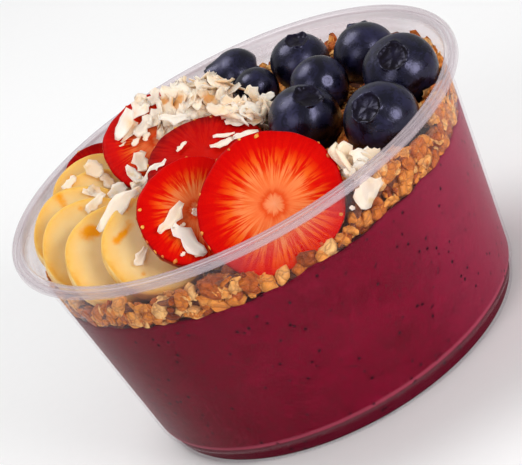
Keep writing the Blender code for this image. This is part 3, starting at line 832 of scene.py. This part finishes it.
def build_blueberries(mat):
    """Plump berries, each with a five-lobed crown round a small hollow."""
    made = []
    circle = turns(60)
    for i, (centre, wide, high, turn, lift, peak) in enumerate(BLUEBERRIES):
        outward = direction(turn, lift)
        across = UP.cross(outward).normalized()
        upward = outward.cross(across)
        c = Vector(centre)
        rings, crown = [], [0]
        for polar in range(174, 30, -6):
            p = radians(polar)
            scar = 0.004 * exp(-(((180 - polar) / 9) ** 2))
            z = high * (cos(p) + scar + drawn_out(sin(p), peak))
            ring = []
            for a in circle:
                bumpy = 1 + 0.03 * noise(Vector(spot(1, a, polar / 60 + 5 * i)) * 1.3)
                pucker = 0.012 * cos(5 * a) * max(0, 1 - (polar - 30) / 30)
                ring.append(spot(wide * sin(p) * (bumpy + pucker), a, z))
            rings.append(ring)
            crown += [0] * len(circle)
        lobes = []
        for a in circle:
            uneven = noise(Vector(spot(2, a, 7.7 * i)))
            lobes.append((0.5 + 0.5 * cos(5 * a + 0.9 * uneven)) ** 1.2 * (0.85 + 0.9 * uneven))
        for reach, rise, lobe_out, lobe_up, dark in CROWN_ROWS:
            torn = (0.045 if reach > 0.3 else 0.03) * min(1, 2 * dark)
            ring = []
            for a, lobe in zip(circle, lobes):
                ragged = torn * noise(Vector((4 * cos(a) * reach, 4 * sin(a) * reach, i)) * 2.2)
                r = wide * (reach + lobe_out * lobe) * (1 - 0.5 * peak * (reach < 0.43))
                ring.append(spot(r, a, high * (rise + lobe_up * lobe + ragged + drawn_out(reach, peak))))
            rings.append(ring)
            crown += [dark] * len(circle)
        top = high * (0.87 + drawn_out(0, peak))
        local = [(0, 0, -0.95 * high)] + [p for ring in rings for p in ring] + [(0, 0, top)]
        placed = [[tuple(c + across * u + upward * v + outward * w) for u, v, w in ring] for ring in rings]
        low = tuple(c - outward * 0.95 * high)
        verts, faces = stack_rings(placed, low, tuple(c + outward * top))
        ob = add_piece(f"blueberry_whole_{i + 1}", verts, faces, mat)
        shift = Vector((31 * i, 17 * i, 0))
        set_attribute(ob, "berry_place", [tuple(Vector(p) + shift) for p in local], "FLOAT_VECTOR")
        set_attribute(ob, "crown", crown + [0.9])
        made.append(settle(ob, f"blueberry_{i + 1}"))
    return made


# ---- small things, strewn by a node tree


def flake_mesh(seed, long, wide, thick, cup, ragged, rows=5, columns=3):
    """A thin flake: an oval plate with a ragged outline, bent along and across."""
    rng = random.Random(seed)
    edge_l, edge_r = [[1 + ragged * rng.uniform(-1, 1) for _ in range(rows + 1)] for _ in range(2)]
    sway = [0.12 * ragged * rng.uniform(-1, 1) for _ in range(rows + 1)]
    twist = rng.uniform(-0.5, 0.5) * cup
    top, under = [], []
    for i in range(rows + 1):
        t = i / rows
        span = 0.22 + 0.78 * sin(pi * min(0.97, max(0.03, t))) ** 0.6
        for j in range(columns + 1):
            s = 2 * j / columns - 1
            w = wide * span * (edge_r[i] if s > 0 else edge_l[i])
            x, y = long * (t - 0.5), 0.5 * w * s + sway[i] * long
            bend = cup * ((2 * t - 1) ** 2 * 0.5 + s * s * 0.35) * wide
            z = bend + twist * s * (t - 0.5) * wide + 0.04 * wide * rng.uniform(-1, 1)
            edge = 1 if 0 < i < rows and 0 < j < columns else 0.35
            top.append((x, y, z + 0.5 * thick * edge))
            under.append((x, y, z - 0.5 * thick * edge))
    n, w = len(top), columns + 1
    faces = []
    for i in range(rows):
        for a in range(i * w, i * w + columns):
            faces += [(a, a + w, a + w + 1, a + 1), (n + a, n + a + 1, n + a + w + 1, n + a + w)]
    border = [*range(w), *range(w + columns, n, w), *range(n - 2, n - w - 1, -1), *range(n - 2 * w, 0, -w)]
    for a, b in zip(border, border[1:] + border[:1]):
        faces.append((a, b, n + b, n + a))
    return new_mesh("flake", top + under, faces)


def lump_mesh(seed, squash, levels):
    """A rough little lump, one unit across."""
    rng = random.Random(seed)
    bm = bmesh.new()
    bmesh.ops.create_icosphere(bm, subdivisions=levels, radius=1)
    shift = Vector((seed * 3.7, seed * 1.3, 0))
    stretch = Vector((1 + rng.uniform(-0.2, 0.35), 1 + rng.uniform(-0.2, 0.2), squash))
    for v in bm.verts:
        bump = 1 + 0.42 * noise(v.co * 1.1 + shift) + 0.26 * noise(v.co * 2.7 + shift)
        v.co = Vector([c * s * bump * 0.5 for c, s in zip(v.co, stretch)])
    mesh = bpy.data.meshes.new("lump")
    bm.to_mesh(mesh)
    bm.free()
    return mesh


def strew_tree():
    """Node tree that strews shapes over a surface, pressed against the tub's wall and made one mesh."""
    tree = bpy.data.node_groups.new("strew", "GeometryNodeTree")
    sockets = {}
    kinds = {"Surface": "Geometry", "Shapes": "Collection", "Random seed": "Int", "Finish": "Material"}
    numbers = ("Spacing", "Per square metre", "Smallest", "Largest", "Tilt", "Lift")
    for label in ("Surface", "Shapes", *numbers, "Random seed", "Finish"):
        kind = f"NodeSocket{kinds.get(label, 'Float')}"
        made = tree.interface.new_socket(label, in_out="INPUT", socket_type=kind)
        sockets[label] = made.identifier
    tree.interface.new_socket("Things", in_out="OUTPUT", socket_type="NodeSocketGeometry")

    def add(kind, inputs=(), out=0, **settings):
        return add_node(tree, kind, inputs, **settings).outputs[out]

    def calc(op, a, b=0):
        return add("ShaderNodeMath", {0: a, 1: b}, operation=op)

    given = add_node(tree, "NodeGroupInput").outputs

    def chance(kind, step, low=0, high=1):
        """A random value for each thing, drawn on its own step of the seed."""
        first, out = {"FLOAT_VECTOR": (0, 0), "FLOAT": (2, 1), "INT": (4, 2)}[kind]
        inputs = {first: low, first + 1: high, "Seed": calc("ADD", given["Random seed"], step)}
        return add("FunctionNodeRandomValue", inputs, out, data_type=kind)

    dense = add("GeometryNodeInputNamedAttribute", {"Name": "dense"}, data_type="FLOAT")
    inputs = {"Mesh": given["Surface"], "Distance Min": given["Spacing"], "Seed": given["Random seed"]}
    inputs |= {"Density Max": given["Per square metre"], "Density Factor": dense}
    scatter = "GeometryNodeDistributePointsOnFaces"
    spots = add_node(tree, scatter, inputs, distribute_method="POISSON").outputs
    lifted = add("ShaderNodeVectorMath", {0: spots["Normal"], "Scale": given["Lift"]}, operation="SCALE")
    moved = add("GeometryNodeSetPosition", {"Geometry": spots["Points"], "Offset": lifted})
    back = calc("MULTIPLY", given["Tilt"], -1)
    low = add("ShaderNodeCombineXYZ", {0: back, 1: back, 2: 0})
    high = add("ShaderNodeCombineXYZ", {0: given["Tilt"], 1: given["Tilt"], 2: tau})
    lean = add("FunctionNodeEulerToRotation", {0: chance("FLOAT_VECTOR", 1, low, high)})
    turned = add("FunctionNodeRotateRotation", {0: spots["Rotation"], 1: lean}, rotation_space="LOCAL")
    shapes = {"Collection": given["Shapes"], "Separate Children": True, "Reset Children": True}
    inputs = {"Points": moved, "Rotation": turned, "Instance": add("GeometryNodeCollectionInfo", shapes)}
    inputs |= {"Pick Instance": True, "Instance Index": chance("INT", 3, 0, 60)}
    inputs["Scale"] = chance("FLOAT", 2, given["Smallest"], given["Largest"])
    set_out = add("GeometryNodeInstanceOnPoints", inputs)
    toast = {"Geometry": set_out, "Name": "toast", "Value": chance("FLOAT", 4)}
    marked = add("GeometryNodeStoreNamedAttribute", toast, data_type="FLOAT", domain="INSTANCE")
    real = add("GeometryNodeRealizeInstances", {0: marked})
    at = add("GeometryNodeInputPosition")
    x, y, z = add_node(tree, "ShaderNodeSeparateXYZ", {0: at}).outputs
    r = calc("SQRT", calc("ADD", calc("MULTIPLY", x, x), calc("MULTIPLY", y, y)))
    slope = (inner_radius(STEP_Z) - inner_radius(WALL_FOOT_Z)) / (STEP_Z - WALL_FOOT_Z)
    start = (inner_radius(WALL_FOOT_Z) - slope * WALL_FOOT_Z + 0.12) * MM
    wall = calc("ADD", calc("MULTIPLY", z, slope), start)
    limit = calc("MINIMUM", wall, inner_radius(STEP_Z) * MM)
    share = calc("MINIMUM", calc("DIVIDE", limit, calc("MAXIMUM", r, 1e-6)), 1)
    inward = add("ShaderNodeCombineXYZ", {0: share, 1: share, 2: 1})
    pressed = add("ShaderNodeVectorMath", {0: at, 1: inward}, operation="MULTIPLY")
    pushed = add("GeometryNodeSetPosition", {"Geometry": real, "Position": pressed})
    coated = add("GeometryNodeSetMaterial", {"Geometry": pushed, "Material": given["Finish"]})
    tree.links.new(coated, add_node(tree, "NodeGroupOutput").inputs[0])
    return tree, sockets


STREW, STREW_SOCKETS = strew_tree()


def strew(name, surface, meshes, mat):
    """Strews shapes over a surface object to their plan, and leaves them as one plain mesh."""
    seed, many, tilt, *sizes = STREW_PLANS[name]
    box = bpy.data.collections.new("shapes")
    for k, mesh in enumerate(meshes):
        mesh.shade_smooth()
        box.objects.link(bpy.data.objects.new(f"shape_{k}", mesh))
    mod = surface.modifiers.new("strew", "NODES")
    mod.node_group = STREW
    values = {"Shapes": box, "Per square metre": many, "Tilt": tilt, "Random seed": seed, "Finish": mat}
    values.update(zip(("Spacing", "Smallest", "Largest", "Lift"), [size * MM for size in sizes]))
    for label, value in values.items():
        mod[STREW_SOCKETS[label]] = value
    bpy.context.view_layer.update()
    graph = bpy.context.evaluated_depsgraph_get()
    mesh = bpy.data.meshes.new_from_object(surface.evaluated_get(graph))
    surface.modifiers.remove(mod)
    mesh.name = name
    bpy.data.batch_remove([*box.objects, box])
    settle(new_object(name, mesh))


def reshaped(mesh, work):
    """Runs one step of editing on a mesh, and gives it back."""
    bm = bmesh.new()
    bm.from_mesh(mesh)
    work(bm)
    bm.to_mesh(mesh)
    bm.free()
    return mesh


def core_of(node, name, cuts):
    """A welded copy of one of the solids, in the scene, with every face split that many times."""

    def weld(bm):
        bmesh.ops.remove_doubles(bm, verts=bm.verts, dist=1e-6)

    def split(bm):
        for _ in range(cuts):
            bmesh.ops.subdivide_edges(bm, edges=bm.edges, cuts=1, use_grid_fill=True)
        bmesh.ops.triangulate(bm, faces=bm.faces)

    mesh = frame["nodes"][node].data.copy()
    mesh.name = name
    mesh.materials.clear()
    return new_object(name, reshaped(reshaped(mesh, weld), split))


def shift_along_normals(mesh, amount):
    """Moves every point of a mesh along its normal, by millimetres that depend on where it is."""
    places = [(v.co.copy(), v.normal.copy()) for v in mesh.vertices]
    moved = [p + n * amount(p / MM) * MM for p, n in places]
    mesh.vertices.foreach_set("co", np.array(moved, dtype=np.float32).ravel())
    mesh.update()


def joined(meshes):
    """Points and faces of several meshes as one."""
    verts, faces = [], []
    for mesh in meshes:
        base = len(verts)
        verts += [v.co.copy() for v in mesh.vertices]
        faces += [tuple(base + i for i in p.vertices) for p in mesh.polygons]
    return verts, faces


def finish_core(core, mat, node):
    """Gives the core under strewn things its finish, and puts it on the body."""
    core.data.materials.append(mat)
    core.data.shade_smooth()
    settle(core, node)


def wall_granola_top(turn):
    """Height up to which granola lies against the wall, by the turn from the front."""
    for (a0, z0), (a1, z1) in zip(WALL_GRANOLA_TOP, WALL_GRANOLA_TOP[1:]):
        if a0 <= turn <= a1:
            return z0 + (z1 - z0) * (turn - a0) / (a1 - a0)
    return CUP_HEIGHT


def build_granola(oat, crumb, fruit):
    """A dark crumb core, painted dark also as the shade between the oats, with oat flakes, lumps and crumbs
    over it and pressed along the wall.
    """
    core = core_of("granola", "granola_core", 2)
    mesh = core.data
    verts, faces = joined([ob.data for ob in fruit])
    over = BVHTree.FromPolygons([v / MM for v in verts], faces)
    chips = [(Vector(r[:3]) + Vector(r[3:6])) / 2 for r in LOOSE_COCONUT if hypot(*r[:2]) > 52.5]
    dense = []
    for v in mesh.vertices:
        p = v.co / MM
        gap_to_wall = inner_radius(p.z) - hypot(p.x, p.y)
        at_wall = gap_to_wall < 1.4
        hit = over.ray_cast(p + UP * 0.2, UP)[0]
        hidden = hit is not None and (hit - p).length < 5 and not at_wall
        turn = degrees(atan2(p.x, -p.y))
        sight = wall_granola_top(turn) - 1.3 - 0.4 * gap_to_wall
        below = v.normal.z < -0.3 and gap_to_wall > 3.5
        share = 0.95 if at_wall else 1
        if hidden and gap_to_wall > 4:
            share = 0.12
        if gap_to_wall < 14 and p.z > sight:
            share = 0.35 if turn < -12 else 0.9
            v.co.z = min(v.co.z, max(sight, ACAI_LEVEL + 1) * MM)
        if below or any((p - chip).length < CHIP_CLEARANCE for chip in chips):
            share = 0
        dense.append(share)
    mesh.update()
    shift_along_normals(mesh, lambda p: -0.9)
    set_attribute(core, "dense", dense)
    shapes = {
        "lumps": [lump_mesh(31 + k, 0.75, 2) for k in range(8)],
        "oats": [flake_mesh(11 + k, 1, 0.74, 0.2, 0.3, 0.14, rows=4) for k in range(8)],
        "crumbs": [lump_mesh(51 + k, 0.8, 1) for k in range(5)],
    }
    for kind, meshes in shapes.items():
        strew(f"granola_{kind}", core, meshes, oat)
    uneven = lambda p: 0.2 + 0.8 * noise(p / 2.4) + 0.4 * noise(p / 0.9)
    shift_along_normals(mesh, lambda p: -max(0, uneven(p)))
    finish_core(core, crumb, "granola")


def slice_height(place, x, y):
    """Height of a leaning slice's cut face above a spot."""
    centre, outward = Vector(place[0]), direction(*place[1:])
    return centre.z - (outward.x * (x - centre.x) + outward.y * (y - centre.y)) / outward.z


def lay_flakes(mat):
    """Coconut flakes laid one by one between two points, each facing its own way."""
    verts, faces, toast, stain = [], [], [], []
    rng = random.Random(8)
    for k, row in enumerate(LOOSE_COCONUT):
        a, b = Vector(row[:3]), Vector(row[3:6])
        wide, turn, lift = row[6:]
        middle, long, along = (a + b) / 2, (b - a).length, (b - a).normalized()
        wide *= 1.28 if long > 1.8 else 0.8
        normal = direction(turn, lift)
        normal = (normal - along * normal.dot(along)).normalized()
        side = normal.cross(along)
        shape = flake_mesh(200 + k, 1.15, wide / long, 0.26 / long, 0.3, 0.42, rows=6, columns=4)
        base = len(verts)
        for v in shape.vertices:
            p = middle + along * v.co.x * long + side * v.co.y * long + normal * (v.co.z * long + 0.45)
            verts.append(tuple(p))
            stain.append(max(0, noise(p / 2.6) * 2.2 - 0.5))
        toast += [rng.uniform(0.2, 1)] * len(shape.vertices)
        faces += [tuple(base + i for i in p.vertices) for p in shape.polygons]
    ob = add_piece("coconut_loose", verts, faces, mat)
    set_attribute(ob, "toast", toast)
    set_attribute(ob, "stain", stain)
    settle(ob)


def build_seeds(mat, slices):
    """Seeds sunk in the skin round every strawberry slice, most of them seen at the cut edge."""
    bed = new_object("seed_bed", new_mesh("seed_bed", *joined([ob.data for ob in slices])))
    dense = []
    for ob in slices:
        facts = [ob.data.attributes[name].data for name in ("outline_share", "skin", "slice_place")]
        for share, skin, place in zip(*facts):
            at_edge = share.value > 0.955 and place.vector.z > -1
            dense.append(1 if skin.value > 0.5 or at_edge else 0)
    set_attribute(bed, "dense", dense)
    seeds = [lump_mesh(91 + k, 0.45, 1) for k in range(3)]
    strew("strawberry_seeds", bed, seeds, mat)
    bpy.data.objects.remove(bed, do_unlink=True)


def heap_limits(x, y):
    """How high the large heap's core may stand at a spot: under its dome, and under the slice on it."""
    (dome_x, dome_y, dome_z), (half_x, half_y, rise) = HEAP_DOME, HEAP_DOME_HALF
    dome = dome_z + rise * sqrt(max(0, 1 - ((x - dome_x) / half_x) ** 2 - ((y - dome_y) / half_y) ** 2))
    slice_on_it = STRAWBERRY_SLICES[3][:3]
    slice_x, slice_y, _ = slice_on_it[0]
    on_slice = hypot(x - slice_x, (y - slice_y) / SLICE_FORESHORTENED) < SLICE_REACH
    return dome, slice_height(slice_on_it, x, y) - CORE_UNDER_SLICE if on_slice else 0


def build_coconut(mat):
    """Each heap: a small pale core under a tangle of shreds and chips."""
    for i in (1, 2, 3):
        core = core_of(f"coconut_heap_{i}", f"coconut_core_{i}", 1)
        mesh = core.data
        shift_along_normals(mesh, lambda p: -1)
        dense = [1 if v.normal.z > -0.2 else 0.6 for v in mesh.vertices]
        if i == 1:
            for k, v in enumerate(mesh.vertices):
                x, y, z = v.co / MM
                dome, under = heap_limits(x, y)
                if z > max(dome, under):
                    v.co.z = max(dome, under) * MM
                if under > dome:
                    dense[k] = 0
            mesh.update()
        set_attribute(core, "dense", dense)
        widths = 2 * (0.34, 0.46, 0.56, 0.24)
        shreds = [flake_mesh(71 + k, 1, wide, 0.05, 0.35, 0.3) for k, wide in enumerate(widths)]
        strew(f"coconut_shreds_{i}", core, shreds, mat)
        shift_along_normals(mesh, lambda p: -0.3 - 0.4 * noise(p / 1.5))
        set_attribute(core, "toast", [0.4] * len(mesh.vertices))
        finish_core(core, mat, f"coconut_heap_{i}")


build_cup(clear_plastic())
build_acai(acai_pulp())
strawberries = build_strawberries(strawberry_flesh())
bananas = build_bananas(banana_flesh())
berries = build_blueberries(blueberry_skin())
build_granola(oat_toasted(), granola_core(), strawberries + bananas + berries)
coconut_look = coconut_flesh()
build_coconut(coconut_look)
lay_flakes(coconut_look)
build_seeds(seed_husk(), strawberries)


# ---- studio


def area_light(name, place, size, power):
    """A soft round lamp aimed at the middle of the bowl, placed in metres."""
    lamp = bpy.data.lights.new(name, "AREA")
    lamp.shape = "DISK"
    lamp.size = size
    lamp.energy = power
    aim = Vector((0, 0, 0.04)) - Vector(place)
    turn = aim.to_track_quat("-Z", "Y").to_matrix().to_4x4()
    new_object(name, lamp).matrix_world = Matrix.Translation(place) @ turn


def build_studio():
    """Pale floor, soft lamps and an even white surround."""
    half = 2500
    corners = [(-half, -half, 0), (half, -half, 0), (half, half, 0), (-half, half, 0)]
    floor = add_piece("studio_floor", corners, [(0, 1, 2, 3)], studio_floor(), smooth=False)
    world = bpy.data.worlds.new("studio_air")
    world.use_nodes = True
    back = world.node_tree.nodes["Background"]
    back.inputs["Color"].default_value = (1, 1, 1, 1)
    back.inputs["Strength"].default_value = 0.4
    bpy.context.scene.world = world
    area_light("key_lamp", (0.53, -0.68, 0.33), 0.46, 4.9)
    area_light("fill_lamp", (-0.5, -0.6, 0.6), 0.5, 1.9)
    area_light("top_lamp", (-0.25, 0.35, 0.9), 0.6, 4.9)


def build_camera():
    """The camera, level with neither axis: it looks down at the bowl with its head tilted."""
    data = bpy.data.cameras.new("camera")
    data.sensor_width = 36
    data.lens = 151.80
    data.clip_end = 20
    right = Vector((0.87494571, -0.19204752, -0.44450845))
    up = Vector((0.48416598, 0.36081646, 0.79711655))
    forward = Vector((-0.00730171, 0.91264957, -0.40867768))
    turn = Matrix((right, up, -forward)).transposed().to_4x4()
    ob = new_object("camera", data)
    ob.matrix_world = Matrix.Translation(Vector((0, -483.485, 251.449)) * MM) @ turn
    bpy.context.scene.camera = ob


build_studio()
build_camera()
bpy.context.scene.view_settings.view_transform = "Standard"
